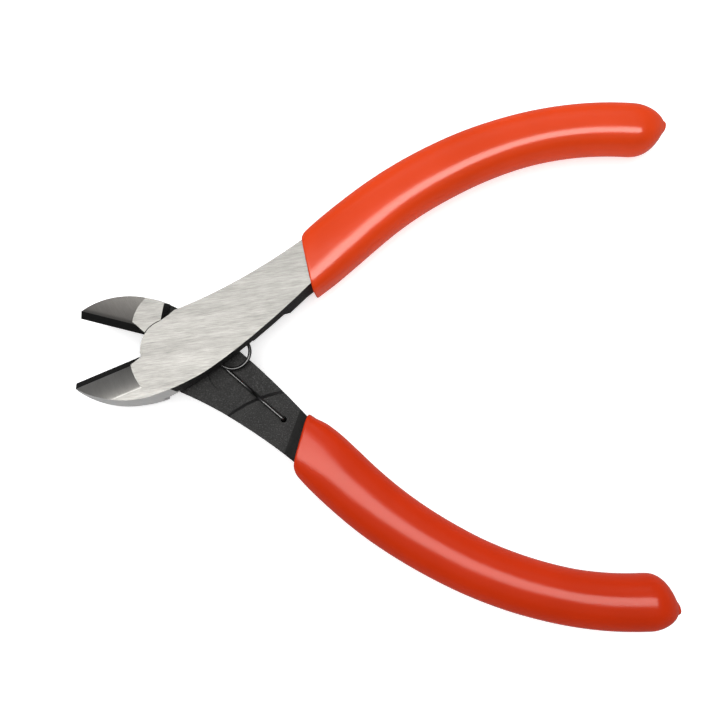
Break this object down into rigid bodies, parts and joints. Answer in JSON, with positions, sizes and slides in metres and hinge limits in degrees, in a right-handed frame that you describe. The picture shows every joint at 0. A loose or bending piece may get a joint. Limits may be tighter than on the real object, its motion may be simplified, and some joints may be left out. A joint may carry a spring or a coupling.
{
  "type": "diagonal cutting pliers",
  "caption": "Small lap-joint diagonal cutters: two forged halves on a flush rivet, a wire return spring and dipped vinyl handles that squeeze together to close the jaws.",
  "frame": {"origin": "where the pivot axis meets the rear half's ground face, with the tool open as its spring holds it", "axes": "+Z along the pivot axis towards the front face, +X along the centre line between the handles, jaws towards -X"},
  "size_m": [0.1014, 0.0888, 0.0088],
  "materials": {
    "forged_steel": "brushed on the ground faces and jaw facets, black oxide on the forged walls and inner faces",
    "rivet_steel": "ground flush and brushed with the faces",
    "dipped_vinyl": "glossy orange-red dip",
    "spring_wire": "black oxide, satin"
  },
  "bodies": {
    "rear_lever": {"rear_half": "forged_steel", "rear_grip": "dipped_vinyl", "return_spring": "spring_wire"},
    "front_lever": {"front_half": "forged_steel", "front_grip": "dipped_vinyl", "pivot_rivet": "rivet_steel"}
  },
  "joints": [
    {"name": "jaw_pivot", "type": "hinge", "parent": "rear_lever", "child": "front_lever", "pos_m": [0, 0, 0.0035], "axis": [0, 0, -1], "range_deg": [0, 37], "stiffness_Nm_per_rad": 0.5, "springref_deg": -22.92, "deforming": ["return_spring"]}
  ]
}
